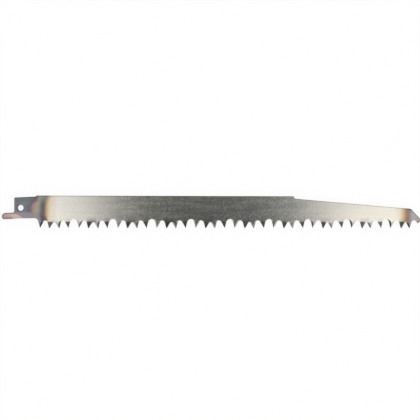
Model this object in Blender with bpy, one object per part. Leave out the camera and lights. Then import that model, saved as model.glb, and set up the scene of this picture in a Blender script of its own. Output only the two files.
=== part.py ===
"""A sabre saw blade for green wood: one flat strip of tool steel.

The strip is punched out first, which rounds the edges of its front face over. A wheel
with a round nose then grinds the gullets, slanting through the thickness one way and
the other in turn, so that every tooth is bevelled on both flanks and comes to a point
at one face. Last, the teeth are bent to the side of that face: left, right, left, right.

While it is modelled, X runs from the tang to the nose with 0 at the first tooth, Y runs
from the tooth tips at 0 up to the back, and Z is the thickness with 0 in its middle.
The finished blade is set down with its lowest tooth tips at Z = 0.
"""

import math

import bmesh
import bpy
from mathutils import Matrix, Vector

MM = 0.001

# the strip
THICKNESS = 1.5 * MM
HEEL_HEIGHT = 18.6 * MM
BACK_TAPER = math.radians(0.15)
HEEL_TO_STEP = 146.3 * MM
STEP_TO_NOSE = 73.4 * MM

# the edge that the punch rounds over, on the front face only: an outer corner's radius is
# wider than it, so that it can follow the corner
ROLL_WIDTH = 0.5 * MM
ROLL_DEPTH = 0.14 * MM
ROLL_STEPS = 3
SMALL_OUTER_RADIUS = ROLL_WIDTH + 0.1 * MM

# the tang, which the saw's clamp grips, and the tail behind it
TANG_LENGTH = 13.45 * MM
TANG_FOOT_HEIGHT = 5.65 * MM
TANG_WIDTH = 12.4 * MM
TANG_FOOT_LEAN = math.radians(0.4)
TANG_TOP_LEAN = math.radians(2.6)
TANG_CORNER_RADIUS = SMALL_OUTER_RADIUS + 0.1 * MM
TAIL_LENGTH = 7.05 * MM
TAIL_WIDTH = 3.65 * MM
TAIL_DROP = 0.3 * MM
TAIL_LEAN = math.radians(2.3)
TAIL_FILLET = 0.9 * MM
SHOULDER_ANGLE = math.radians(32)
SHOULDER_RADIUS = SMALL_OUTER_RADIUS
HEEL_FILLET = 1.0 * MM
PIN_HOLE_DIAMETER = 3.4 * MM
PIN_HOLE_FROM_END = 3.6 * MM
PIN_HOLE_FROM_FOOT = 5.95 * MM

# the step in the back and the nose in front of it
STEP_DEPTH = 1.3 * MM
STEP_LEAN = math.radians(18)
STEP_FILLET = 0.8 * MM
SPINE_SLOPE = math.radians(5.1)
NOSE_SLOPE = math.radians(43)
NOSE_POINT_HEIGHT = 4.3 * MM
NOSE_UNDERCUT = math.radians(31)
NOSE_CORNER_RADIUS = 1.2 * MM
NOSE_POINT_RADIUS = SMALL_OUTER_RADIUS

# the teeth: four gullets in a row that repeats, with steep and sloped flanks
HEEL_TO_TOOTH = 1.1 * MM
DEEP_SPACING = 5.93 * MM
DEEP_DEPTH = 5.2 * MM
DEEP_RADIUS = 2.5 * MM
AFTER_LEFT_SPACING = 5.73 * MM
BEFORE_LEFT_SPACING = 5.68 * MM
MIDDLE_DEPTH = 4.4 * MM
MIDDLE_RADIUS = 2.0 * MM
SHALLOW_SPACING = 4.97 * MM
SHALLOW_DEPTH = 3.4 * MM
SHALLOW_RADIUS = 1.5 * MM
STEEP_FLANK = math.radians(14)
SLOPED_FLANK = math.radians(29)
GRIND_SLANT = math.radians(30)

# how far the tips are bent out, and how far above the tips the bend starts
SET_WIDTH = 0.4 * MM
BEND_HEIGHT = 4.3 * MM
BEND_ROUNDING = 1.4 * MM
BEND_STEPS = 3
TWIST_CUTS = 6

CORNER_STEPS = 6
CROWN_STEPS = 12
HOLE_STEPS = 40
OVERSHOOT = 1.0 * MM
MERGE_DISTANCE = 0.001 * MM
SHARP_ANGLE = math.radians(28)

STEEL_COLOUR = (0.75, 0.74, 0.71, 1.0)
STEEL_ROUGHNESS = 0.28


def clear_scene():
    """Remove the objects that the scene starts with."""
    for scene_object in list(bpy.data.objects):
        bpy.data.objects.remove(scene_object, do_unlink=True)


def add_object(name, mesh):
    """Put a mesh in the scene as a named object."""
    new_object = bpy.data.objects.new(name, mesh)
    bpy.context.scene.collection.objects.link(new_object)
    return new_object


def finished_mesh(name, bm):
    """Turn a bmesh into a mesh, with its faces pointing out."""
    bmesh.ops.recalc_face_normals(bm, faces=bm.faces)
    mesh = bpy.data.meshes.new(name)
    bm.to_mesh(mesh)
    bm.free()
    return mesh


def crossing(point_a, angle_a, point_b, angle_b):
    """Where two lines meet, each given by a point and its angle to the X axis."""
    way_a = Vector((math.cos(angle_a), math.sin(angle_a)))
    way_b = Vector((math.cos(angle_b), math.sin(angle_b)))
    apart = point_b - point_a
    along = (apart.x * way_b.y - apart.y * way_b.x) / (way_a.x * way_b.y - way_a.y * way_b.x)
    return point_a + way_a * along


def rounded(corners):
    """The outline through these corners, each a point and the radius that rounds it."""
    outline = []
    for index, (corner, radius) in enumerate(corners):
        before = (corners[index - 1][0] - corner).normalized()
        after = (corners[(index + 1) % len(corners)][0] - corner).normalized()
        half_angle = before.angle(after) / 2
        if radius <= 0 or half_angle > math.radians(89):
            outline.append(corner)
            continue
        centre = corner + (before + after).normalized() * radius / math.sin(half_angle)
        start = corner + before * radius / math.tan(half_angle) - centre
        end = corner + after * radius / math.tan(half_angle) - centre
        sweep = start.angle_signed(end)
        for step in range(CORNER_STEPS + 1):
            turn = Matrix.Rotation(-sweep * step / CORNER_STEPS, 2)
            point = centre + turn @ start
            if not outline or (point - outline[-1]).length > MERGE_DISTANCE:
                outline.append(point)
    return outline


def strip_corners():
    """The corners of the punched strip, going round from the tail under to the nose."""
    heel = -HEEL_TO_TOOTH
    tang_end = heel - TANG_LENGTH
    step = heel + HEEL_TO_STEP
    nose = step + STEP_TO_NOSE
    level, upright = 0.0, math.radians(90)

    foot_at_heel = Vector((heel, TANG_FOOT_HEIGHT))
    top_at_heel = foot_at_heel + Vector((0, TANG_WIDTH))
    back_at_heel = Vector((heel, HEEL_HEIGHT))
    at_tang_end = Vector((tang_end, 0))
    foot_at_end = crossing(foot_at_heel, TANG_FOOT_LEAN, at_tang_end, upright)
    top_at_end = crossing(top_at_heel, TANG_TOP_LEAN, at_tang_end, upright)

    tail_foot = foot_at_end - Vector((0, TAIL_DROP))
    along_tail = Vector((math.cos(TAIL_LEAN), math.sin(TAIL_LEAN)))
    across_tail = along_tail.orthogonal() * TAIL_WIDTH
    tail_foot_end = tail_foot - along_tail * TAIL_LENGTH
    tail_top_end = tail_foot_end + across_tail
    tail_top = crossing(tail_top_end, TAIL_LEAN, at_tang_end, upright)
    drop_end = crossing(tail_foot, SHOULDER_ANGLE, foot_at_heel, TANG_FOOT_LEAN)

    shoulder_top = crossing(top_at_heel, SHOULDER_ANGLE, back_at_heel, -BACK_TAPER)
    step_top = crossing(Vector((step, 0)), upright, back_at_heel, -BACK_TAPER)
    step_foot = step_top + Vector((math.tan(STEP_LEAN), -1)) * STEP_DEPTH
    nose_point = Vector((nose, NOSE_POINT_HEIGHT))
    nose_corner = crossing(step_foot, -SPINE_SLOPE, nose_point, -NOSE_SLOPE)
    under_tips = Vector((heel, -OVERSHOOT))
    under_nose = crossing(under_tips, level, nose_point, NOSE_UNDERCUT)

    return [
        (tail_top_end, TAIL_WIDTH / 2),
        (tail_foot_end, TAIL_WIDTH / 2),
        (tail_foot, 0),
        (drop_end, 0),
        (foot_at_heel, HEEL_FILLET),
        (under_tips, 0),
        (under_nose, 0),
        (nose_point, NOSE_POINT_RADIUS),
        (nose_corner, NOSE_CORNER_RADIUS),
        (step_foot, STEP_FILLET),
        (step_top, 0),
        (shoulder_top, SHOULDER_RADIUS),
        (top_at_heel, SHOULDER_RADIUS),
        (top_at_end, TANG_CORNER_RADIUS),
        (tail_top, TAIL_FILLET),
    ]


def roll_profile():
    """Quarter ellipse of the rounded edge: pairs of distance inwards and drop below the face."""
    quarter = math.pi / 2
    angles = [quarter * step / ROLL_STEPS for step in range(ROLL_STEPS + 1)]
    return [(ROLL_WIDTH * (1 - math.cos(a)), ROLL_DEPTH * (1 - math.sin(a))) for a in angles]


def punched_strip():
    """The strip with its true outline, rounded over round the front face."""
    bm = bmesh.new()
    rear = bm.faces.new([bm.verts.new((p.x, p.y, -THICKNESS / 2)) for p in rounded(strip_corners())])
    raised = bmesh.ops.extrude_face_region(bm, geom=[rear], use_keep_orig=True)["geom"]
    front = next(item for item in raised if isinstance(item, bmesh.types.BMFace))
    profile = roll_profile()
    for vert in front.verts:
        vert.co.z = THICKNESS / 2 - profile[0][1]
    for (last_inset, _), (inset, drop) in zip(profile, profile[1:]):
        bmesh.ops.inset_region(bm, faces=[front], thickness=inset - last_inset, use_even_offset=True)
        for vert in front.verts:
            vert.co.z = THICKNESS / 2 - drop
    return finished_mesh("strip", bm)


def pin_punch():
    """The turned punch for the pin hole, which rounds the hole's rim over like the outline."""
    heel = -HEEL_TO_TOOTH
    radius = PIN_HOLE_DIAMETER / 2
    rim = [(radius + ROLL_WIDTH, THICKNESS / 2 + OVERSHOOT), (radius + ROLL_WIDTH, THICKNESS / 2)]
    rim += [(radius + inset, THICKNESS / 2 - drop) for inset, drop in reversed(roll_profile()[:-1])]
    rim += [(radius, -THICKNESS / 2 - OVERSHOOT)]
    centre = Vector((
        heel - TANG_LENGTH + PIN_HOLE_FROM_END,
        TANG_FOOT_HEIGHT - TANG_LENGTH * math.tan(TANG_FOOT_LEAN) + PIN_HOLE_FROM_FOOT,
        0,
    ))
    bm = bmesh.new()
    rings = []
    for ring_radius, height in rim:
        turned = bmesh.ops.create_circle(
            bm, segments=HOLE_STEPS, radius=ring_radius,
            matrix=Matrix.Translation(centre + Vector((0, 0, height))),
        )
        rings.append(turned["verts"])
    for upper, lower in zip(rings, rings[1:]):
        for index in range(HOLE_STEPS):
            after = (index + 1) % HOLE_STEPS
            bm.faces.new((upper[index], upper[after], lower[after], lower[index]))
    bm.faces.new(rings[0])
    bm.faces.new(rings[-1])
    return finished_mesh("pin_punch", bm)


class Gullet:
    """One gullet of the row: where its round crown is, and how its flanks lean."""

    def __init__(self, tip, spacing, depth, radius, left_flank, right_flank):
        self.depth = depth
        self.radius = radius
        self.flanks = (left_flank, right_flank)
        reach_left, reach_right = (self.reach(flank, 0) for flank in self.flanks)
        self.centre = tip + (spacing + reach_left - reach_right) / 2

    def reach(self, flank, height):
        """How far the flank is from the crown's centre, at a height above the tips."""
        touch_x = self.radius * math.cos(flank)
        touch_y = self.depth - self.radius + self.radius * math.sin(flank)
        return touch_x + (touch_y - height) * math.tan(flank)

    def profile(self):
        """The wheel's profile: up the left flank, round the crown, down the right flank."""
        left, right = self.flanks
        foot = -2 * OVERSHOOT
        points = [Vector((self.centre - self.reach(left, foot), foot))]
        start, end = math.pi - left, right
        for step in range(CROWN_STEPS + 1):
            angle = start + (end - start) * step / CROWN_STEPS
            round_part = Vector((math.cos(angle), math.sin(angle))) * self.radius
            points.append(Vector((self.centre, self.depth - self.radius)) + round_part)
        points.append(Vector((self.centre + self.reach(right, foot), foot)))
        return points


def gullet_row():
    """Every gullet from the heel to the nose, starting with the deep one before the first tooth."""
    kinds = [
        (DEEP_SPACING, DEEP_DEPTH, DEEP_RADIUS, STEEP_FLANK, STEEP_FLANK),
        (AFTER_LEFT_SPACING, MIDDLE_DEPTH, MIDDLE_RADIUS, SLOPED_FLANK, STEEP_FLANK),
        (SHALLOW_SPACING, SHALLOW_DEPTH, SHALLOW_RADIUS, SLOPED_FLANK, SLOPED_FLANK),
        (BEFORE_LEFT_SPACING, MIDDLE_DEPTH, MIDDLE_RADIUS, STEEP_FLANK, SLOPED_FLANK),
    ]
    last_tip = HEEL_TO_STEP + STEP_TO_NOSE - HEEL_TO_TOOTH
    gullets = []
    tip = -DEEP_SPACING
    while tip + SHALLOW_SPACING < last_tip:
        spacing, depth, radius, left, right = kinds[len(gullets) % len(kinds)]
        gullets.append(Gullet(tip, spacing, depth, radius, left, right))
        tip += spacing
    return gullets


def grinding_cutters(gullets, slant):
    """The space that the wheel takes out of these gullets, slanting one way through the strip."""
    bm = bmesh.new()
    reach = THICKNESS / 2 + OVERSHOOT
    for gullet in gullets:
        low = [bm.verts.new((p.x - reach * slant, p.y, -reach)) for p in gullet.profile()]
        high = [bm.verts.new((p.x + reach * slant, p.y, reach)) for p in gullet.profile()]
        bm.faces.new(low)
        bm.faces.new(high)
        for index in range(len(low)):
            after = (index + 1) % len(low)
            bm.faces.new((low[index], low[after], high[after], high[index]))
    return finished_mesh("grinding", bm)


def tip_cutter():
    """The space below the tips, where the strip's lower edge is ground off level."""
    heel = -HEEL_TO_TOOTH
    length = HEEL_TO_STEP + STEP_TO_NOSE
    bm = bmesh.new()
    bmesh.ops.create_cube(bm, size=1.0)
    bmesh.ops.scale(bm, verts=bm.verts, vec=(length * 1.1, 3 * OVERSHOOT, THICKNESS * 2))
    bmesh.ops.translate(bm, verts=bm.verts, vec=(heel + length / 2, -1.5 * OVERSHOOT, 0))
    return finished_mesh("tip_level", bm)


def cut(target, name, mesh):
    """Cut a closed mesh out of an object, for good."""
    cutter = add_object(name, mesh)
    cutter.hide_render = True
    cutter.display_type = 'WIRE'
    boolean = target.modifiers.new(name, 'BOOLEAN')
    boolean.operation = 'DIFFERENCE'
    boolean.solver = 'EXACT'
    boolean.object = cutter
    depsgraph = bpy.context.evaluated_depsgraph_get()
    result = bpy.data.meshes.new_from_object(target.evaluated_get(depsgraph))
    target.modifiers.clear()
    target.data = result
    bpy.data.objects.remove(cutter, do_unlink=True)


def bend_share(below):
    """Share of the full set at a depth below the bend line: a round start, then straight."""
    if below <= 0:
        return 0.0
    straight = BEND_HEIGHT - BEND_ROUNDING / 2
    if below < BEND_ROUNDING:
        return below ** 2 / (2 * BEND_ROUNDING) / straight
    return (below - BEND_ROUNDING / 2) / straight


def bend_side(x, gullets):
    """Which way the steel is bent at x: -1 or 1 on a tooth, changing over at each gullet's crown."""
    side = 1.0
    for gullet in gullets:
        share = (x - gullet.centre + gullet.radius) / (2 * gullet.radius)
        share = min(max(share, 0.0), 1.0)
        eased = share * share * (3 - 2 * share)
        side *= 1 - 2 * eased
    return side


def slice_band(bm, point, normal, lowest, left, right):
    """Cut the faces of the toothed band between two places in X with a flat plane."""
    band = set()
    for face in bm.faces:
        middle = face.calc_center_median()
        if lowest - OVERSHOOT < middle.y < BEND_HEIGHT and left < middle.x < right:
            band.add(face)
            band.update(face.edges)
            band.update(face.verts)
    bmesh.ops.bisect_plane(bm, geom=list(band), dist=1e-8, plane_co=point, plane_no=normal)


def set_teeth(mesh, gullets):
    """Bend the teeth out of the strip's plane, to one side and the other in turn."""
    bm = bmesh.new()
    bm.from_mesh(mesh)
    levels = [BEND_HEIGHT - BEND_ROUNDING * step / BEND_STEPS for step in range(BEND_STEPS + 1)]
    for level in levels:
        geometry = bm.verts[:] + bm.edges[:] + bm.faces[:]
        bmesh.ops.bisect_plane(bm, geom=geometry, dist=1e-8, plane_co=(0, level, 0), plane_no=(0, 1, 0))
    for gullet in gullets:
        if gullet.depth >= BEND_HEIGHT:
            continue
        left, right = gullet.centre - gullet.radius, gullet.centre + gullet.radius
        for step in range(1, TWIST_CUTS):
            x = left + (right - left) * step / TWIST_CUTS
            slice_band(bm, (x, 0, 0), (1, 0, 0), gullet.depth - gullet.radius, left, right)
    for vert in bm.verts:
        share = bend_share(BEND_HEIGHT - vert.co.y)
        if share:
            vert.co.z += SET_WIDTH * share * bend_side(vert.co.x, gullets)
    bm.to_mesh(mesh)
    bm.free()


def steel():
    """Bright ground tool steel."""
    material = bpy.data.materials.new("steel")
    material.use_nodes = True
    surface = material.node_tree.nodes["Principled BSDF"]
    surface.inputs["Base Color"].default_value = STEEL_COLOUR
    surface.inputs["Roughness"].default_value = STEEL_ROUGHNESS
    surface.inputs["Metallic"].default_value = 1.0
    return material


def set_down(mesh):
    """Move the blade so that its box is centred in X and Y and it lies on Z = 0."""
    low = Vector([min(vert.co[axis] for vert in mesh.vertices) for axis in range(3)])
    high = Vector([max(vert.co[axis] for vert in mesh.vertices) for axis in range(3)])
    middle = (low + high) / 2
    mesh.transform(Matrix.Translation((-middle.x, -middle.y, -low.z)))


def build_blade():
    """Punch the strip, grind the gullets, set the teeth."""
    gullets = gullet_row()
    slant = math.tan(GRIND_SLANT)
    blade = add_object("saw_blade", punched_strip())
    cut(blade, "pin_punch", pin_punch())
    cut(blade, "tip_level", tip_cutter())
    cut(blade, "grinding_one_way", grinding_cutters(gullets[0::2], slant))
    cut(blade, "grinding_other_way", grinding_cutters(gullets[1::2], -slant))
    set_teeth(blade.data, gullets)
    set_down(blade.data)
    blade.data.shade_smooth()
    blade.data.set_sharp_from_angle(angle=SHARP_ANGLE)
    flat_faces = blade.modifiers.new("flat_faces", 'WEIGHTED_NORMAL')
    flat_faces.keep_sharp = True
    blade.data.materials.clear()
    blade.data.materials.append(steel())
    return blade


clear_scene()
build_blade()
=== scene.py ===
# %% [markdown]
# # A sabre saw blade for green wood
#
# The object is one strip of tool steel, about 240 mm long and 1.5 mm thick, that lies flat on a white
# ground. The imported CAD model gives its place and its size. This lesson dresses it: a finer copy of the
# same form, with the finish that punching, hardening, grinding and setting leave on such a blade.

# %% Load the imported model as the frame
import math

import bmesh
import bpy
from mathutils import Matrix, Vector


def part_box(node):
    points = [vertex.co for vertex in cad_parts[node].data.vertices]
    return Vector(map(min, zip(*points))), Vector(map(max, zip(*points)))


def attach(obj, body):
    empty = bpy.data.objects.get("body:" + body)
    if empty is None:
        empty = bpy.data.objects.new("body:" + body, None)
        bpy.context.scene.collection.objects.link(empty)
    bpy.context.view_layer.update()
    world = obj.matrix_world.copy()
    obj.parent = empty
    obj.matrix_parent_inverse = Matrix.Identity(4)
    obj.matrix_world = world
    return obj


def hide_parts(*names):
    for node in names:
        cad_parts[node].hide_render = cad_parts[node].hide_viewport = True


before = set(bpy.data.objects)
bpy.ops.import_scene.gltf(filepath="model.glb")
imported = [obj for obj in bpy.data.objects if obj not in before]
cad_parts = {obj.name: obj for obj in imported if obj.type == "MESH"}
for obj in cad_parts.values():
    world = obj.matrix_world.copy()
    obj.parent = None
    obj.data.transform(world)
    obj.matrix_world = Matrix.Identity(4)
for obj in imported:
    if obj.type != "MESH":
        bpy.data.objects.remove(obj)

MM = 0.001
DEGREE = math.radians(1)
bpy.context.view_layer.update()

# %% [markdown]
# ## The camera
#
# The photograph looks straight down on the blade, and the blade runs from one side of the picture to the
# other. A camera 525 mm above the middle of the steel sees the blade at the photograph's size, and the
# bevels as the photograph shows them: on each tooth the one that faces the middle of the picture is wider.

# %% Look straight down
FRAME_WIDTH = 240.24 * MM
CAMERA_HEIGHT = 525 * MM
MID_PLANE = 1.15 * MM
CAMERA_OFF_CENTRE = (-0.808 * MM, 0.996 * MM)
SENSOR_WIDTH = 36.0
CLIP_START = 10 * MM

camera_data = bpy.data.cameras.new("camera")
camera_data.sensor_width = SENSOR_WIDTH
camera_data.lens = SENSOR_WIDTH * CAMERA_HEIGHT / FRAME_WIDTH
camera_data.clip_start = CLIP_START
camera = bpy.data.objects.new("camera", camera_data)
camera.location = (*CAMERA_OFF_CENTRE, MID_PLANE + CAMERA_HEIGHT)
bpy.context.scene.collection.objects.link(camera)
bpy.context.scene.camera = camera
bpy.context.scene.view_settings.view_transform = 'Standard'
print("lens:", round(camera_data.lens, 2), "mm")

# %% [markdown]
# ## Helpers for node trees
#
# Every material here, the world and the Geometry Nodes tree are built from nodes. Short helpers keep that
# readable: the first feeds a socket with a link or a plain value, the next adds a node, and the others add
# the kinds that come back often. The Math, Map Range and Mix nodes are the same in shader trees and in
# Geometry Nodes, so the helpers serve both.


# %% Feed a socket, add a node, do arithmetic
def feed(tree, socket, value):
    """Link another node's output to a socket, or write a plain value into it."""
    if isinstance(value, bpy.types.NodeSocket):
        tree.links.new(value, socket)
    else:
        socket.default_value = value


def add(tree, kind, inputs=None, **settings):
    """A new node, with its settings, and its inputs given by name or by number."""
    node = tree.nodes.new(kind)
    for name, value in settings.items():
        setattr(node, name, value)
    for name, value in (inputs or {}).items():
        feed(tree, node.inputs[name], value)
    return node


def calc(tree, operation, *values):
    """Arithmetic on numbers or on other nodes' outputs."""
    node = add(tree, "ShaderNodeMath", dict(enumerate(values)), operation=operation)
    return node.outputs[0]


def eased(tree, value, start, end, low=0.0, high=1.0):
    """Low before start, high after end, and a smooth step between them."""
    inputs = dict(enumerate((value, start, end, low, high)))
    return add(tree, "ShaderNodeMapRange", inputs, interpolation_type='SMOOTHSTEP').outputs[0]


def product(tree, *values):
    """Several values multiplied together."""
    result = values[0]
    for value in values[1:]:
        result = calc(tree, 'MULTIPLY', result, value)
    return result


# %% Helpers for groups, colours and patterns
def new_group(name, kind, inputs, outputs):
    """An empty node group with named sockets, and the sockets of its input and output nodes."""
    group = bpy.data.node_groups.new(name, kind)
    for way, sockets in (('INPUT', inputs), ('OUTPUT', outputs)):
        for socket_name, socket_kind, *value in sockets:
            kind_name = "NodeSocket" + socket_kind
            socket = group.interface.new_socket(socket_name, in_out=way, socket_type=kind_name)
            if value:
                socket.default_value = value[0]
    return group, group.nodes.new("NodeGroupInput").outputs, group.nodes.new("NodeGroupOutput").inputs


def mixed(tree, share, first, second, blend='MIX'):
    """The first colour with a share of the second mixed or multiplied in."""
    inputs = {0: share, 6: first, 7: second}
    return add(tree, "ShaderNodeMix", inputs, data_type='RGBA', blend_type=blend).outputs[2]


def grey(tree, value):
    """A grey colour from a number."""
    return add(tree, "ShaderNodeCombineColor", {0: value, 1: value, 2: value}).outputs[0]


def linear(red, green, blue):
    """A colour as a screen shows it, 0 to 255, as the linear colour that nodes work with."""
    parts = [c / 255 for c in (red, green, blue)]
    return (*[c / 12.92 if c <= 0.04045 else ((c + 0.055) / 1.055) ** 2.4 for c in parts], 1.0)


def ramp_along(tree, value, stops):
    """Colours along a value, where each stop is a place in the value's own unit and the colour there."""
    start, end = stops[0][0], stops[-1][0]
    factor = add(tree, "ShaderNodeMapRange", {0: value, 1: start, 2: end}).outputs[0]
    node = add(tree, "ShaderNodeValToRGB", {"Fac": factor})
    elements = node.color_ramp.elements
    while len(elements) < len(stops):
        elements.new(0.5)
    for element, (place, _) in zip(elements, stops):
        element.position = (place - start) / (end - start)
    for element, (_, colour) in zip(elements, stops):
        element.color = colour
    return node.outputs["Color"]


def noise(tree, place, scale, detail=2.0, roughness=0.5):
    """A smooth random pattern with about this many bumps in each unit of the place."""
    inputs = {"Vector": place, "Scale": scale, "Detail": detail, "Roughness": roughness}
    return add(tree, "ShaderNodeTexNoise", inputs).outputs["Fac"]


def scaled(tree, place, scale, shift=(0.0, 0.0, 0.0)):
    """A place stretched along the three axes, and then shifted."""
    return add(tree, "ShaderNodeMapping", {"Vector": place, "Scale": scale, "Location": shift}).outputs[0]


def object_place(tree):
    """The place on the object, in metres."""
    return add(tree, "ShaderNodeTexCoord").outputs["Object"]


def parts_of(tree, place):
    """The X, Y and Z of a place."""
    return add(tree, "ShaderNodeSeparateXYZ", {0: place}).outputs


def place_of(tree, x=0.0, y=0.0, z=0.0):
    """A place, or a way to go, from its X, Y and Z."""
    return add(tree, "ShaderNodeCombineXYZ", {0: x, 1: y, 2: z}).outputs[0]


# %% [markdown]
# ## The light
#
# Polished steel shows what is around it more than its own colour. The ground and the room are white, so
# the blade is pale where it mirrors them. Overhead there is the dark camera, and the flat face mirrors it
# in the middle of the blade: that is the dark band there. The dark reaches on towards the back of the blade
# as a beam, so a tooth that is bent up and the rounded edge of the back mirror it too. In front of the
# blade the room is a little darker, which a tooth that is bent down mirrors. Dark cards could do this, but
# they would also shade the blade and show in other views. So the world has the dark places, and only
# reflections see them. For everything else it is plain white at strength 1, at which a colour renders
# about as it is written.

# %% What the steel mirrors
CAMERA_BAND = [
    # degrees from overhead towards the nose, and what the steel mirrors there
    (-14.0, 0.98, 0.99, 1.0),
    (-11.5, 0.98, 0.99, 1.0),
    (-10.3, 0.97, 0.98, 1.0),
    (-9.4, 0.90, 0.91, 0.93),
    (-8.2, 0.83, 0.84, 0.86),
    (-6.9, 0.51, 0.52, 0.53),
    (-5.6, 0.27, 0.28, 0.285),
    (-4.0, 0.136, 0.143, 0.144),
    (-2.0, 0.102, 0.109, 0.112),
    (1.4, 0.102, 0.109, 0.117),
    (3.4, 0.128, 0.138, 0.147),
    (5.0, 0.235, 0.25, 0.268),
    (6.4, 0.455, 0.475, 0.49),
    (7.9, 0.86, 0.85, 0.85),
    (10.0, 1.0, 0.99, 0.99),
]
# Each pair is where something starts and where it is full. These are degrees over the horizon:
BAND_RISE = (28.0, 48.0)
BEAM_RISE = (36.87, 53.13)
ROOM_RISE = (-4.0, 40.0)
TABLE_EDGE = (-41.0, -28.0)
TABLE_LINE = (-8.0, 4.0)
# and these are degrees from overhead towards the back, or towards the nose:
BAND_FRONT = (-24.0, -15.0)
BEAM_FRONT = (2.5, 8.0)
BEAM_BACK = (16.0, 23.0)
DARKER_FRONT = (-5.0, -14.0)
BEAM_ENDS = (8.0, 10.5)
NOSE_SIDE = (7.0, 9.5)
BEAM_COLOUR = (0.085, 0.085, 0.085, 1.0)
BEAM_AT_ENDS = 0.88
FRONT_DARKENING = (0.2, 0.42)
ROOM_GREY = 0.45
TABLE_GREY = 0.12
WHITE = (1.0, 1.0, 1.0, 1.0)

world = bpy.data.worlds.new("white_room")
bpy.context.scene.world = world
world.use_nodes = True
world.cycles.sampling_method = 'NONE'
room = world.node_tree
room.nodes.clear()
direction = parts_of(room, add(room, "ShaderNodeTexCoord").outputs["Generated"])


# %% A white room with a dark camera overhead
def sine(degrees):
    """The part of a direction that an angle in degrees stands for."""
    return math.sin(math.radians(degrees))


def fade(way, angles, low=0.0, high=1.0):
    """A smooth step along one way of the direction, between two angles."""
    return eased(room, way, sine(angles[0]), sine(angles[1]), low, high)


sky = grey(room, fade(direction["Z"], ROOM_RISE, ROOM_GREY, 1.0))
over_blade = product(room, fade(direction["Y"], BAND_FRONT), fade(direction["Z"], BAND_RISE))
band_stops = [(sine(angle), (*colour, 1.0)) for angle, *colour in CAMERA_BAND]
band = ramp_along(room, direction["X"], band_stops)
sky = mixed(room, over_blade, sky, band)
darkened = product(room, fade(direction["Y"], DARKER_FRONT),
                   fade(direction["X"], NOSE_SIDE, *FRONT_DARKENING))
sky = mixed(room, 1.0, sky, grey(room, calc(room, 'SUBTRACT', 1.0, darkened)), 'MULTIPLY')
off_middle = calc(room, 'ABSOLUTE', direction["X"])
beam = product(room, fade(direction["Y"], BEAM_FRONT), fade(direction["Y"], BEAM_BACK, 1.0, 0.0),
               fade(direction["Z"], BEAM_RISE), fade(off_middle, BEAM_ENDS, 1.0, BEAM_AT_ENDS))
sky = mixed(room, beam, sky, BEAM_COLOUR)
table = grey(room, fade(direction["Z"], TABLE_EDGE, 1.0, TABLE_GREY))
mirrored = mixed(room, fade(direction["Z"], TABLE_LINE), table, sky)
is_glossy = add(room, "ShaderNodeLightPath").outputs["Is Glossy Ray"]
background = add(room, "ShaderNodeBackground", {"Color": mixed(room, is_glossy, WHITE, mirrored)})
add(room, "ShaderNodeOutputWorld", {"Surface": background.outputs[0]})
print("world nodes:", len(room.nodes))

# %% [markdown]
# ## The ground
#
# The photograph's ground is plain white. A large matt plane under the blade is enough, and it keeps the
# soft shadow that the blade and its teeth throw on it. Where the camera sees it, most of it is plain white,
# as bright as the photograph's, and the small rest takes the light and so shows the shadow.

# %% White paper
PAPER_SIDE = 4.0
PAPER_WHITE = (0.98, 0.98, 0.98, 1.0)
PLAIN_SHARE = 0.88  # of what is seen, against the lit and shaded paper


def new_object(name, shape, material):
    """An object made of finished mesh code, with one material on it."""
    mesh = bpy.data.meshes.new(name)
    shape.to_mesh(mesh)
    shape.free()
    mesh.materials.append(material)
    item = bpy.data.objects.new(name, mesh)
    bpy.context.scene.collection.objects.link(item)
    return item


paper_white = bpy.data.materials.new("paper_white")
paper_white.use_nodes = True
paper_tree = paper_white.node_tree
matt = paper_tree.nodes["Principled BSDF"]
matt.inputs["Base Color"].default_value = PAPER_WHITE
matt.inputs["Roughness"].default_value = 1.0
matt.inputs["Specular IOR Level"].default_value = 0.0
plain = add(paper_tree, "ShaderNodeEmission", {"Color": WHITE, "Strength": 1.0}).outputs[0]
ray = add(paper_tree, "ShaderNodeLightPath").outputs
seen = calc(paper_tree, 'MAXIMUM', ray["Is Glossy Ray"], ray["Is Transmission Ray"])
seen = calc(paper_tree, 'MAXIMUM', ray["Is Camera Ray"], seen)
share = product(paper_tree, seen, PLAIN_SHARE)
partly_plain = add(paper_tree, "ShaderNodeMixShader", {0: share, 1: matt.outputs[0], 2: plain}).outputs[0]
feed(paper_tree, paper_tree.nodes["Material Output"].inputs["Surface"], partly_plain)
paper_shape = bmesh.new()
bmesh.ops.create_grid(paper_shape, x_segments=1, y_segments=1, size=PAPER_SIDE / 2)
paper = new_object("paper", paper_shape, paper_white)
paper.visible_glossy = False
print("paper:", PAPER_SIDE, "m square")

# %% [markdown]
# ## The heat colours
#
# The tang and the nose of such a blade are heated after hardening, and the oxide that grows on the steel
# colours it: pale straw where it was least hot, then amber and brown, and then blue and paler second
# colours towards the hottest place. The order of the colours is always the same, so a ramp holds them, and
# a distance in millimetres from the brown line picks the colour. The tang was held longer than the nose, so
# each has a ramp of its own. The tang's lines bow round its upper corner. Its edges, the tail, the teeth and
# the corner of the nose took another heat than the steel beside them, so they lie over the ramp as softly
# edged patches. All finishes of the blade need this, so it is a shader node group.

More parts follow.
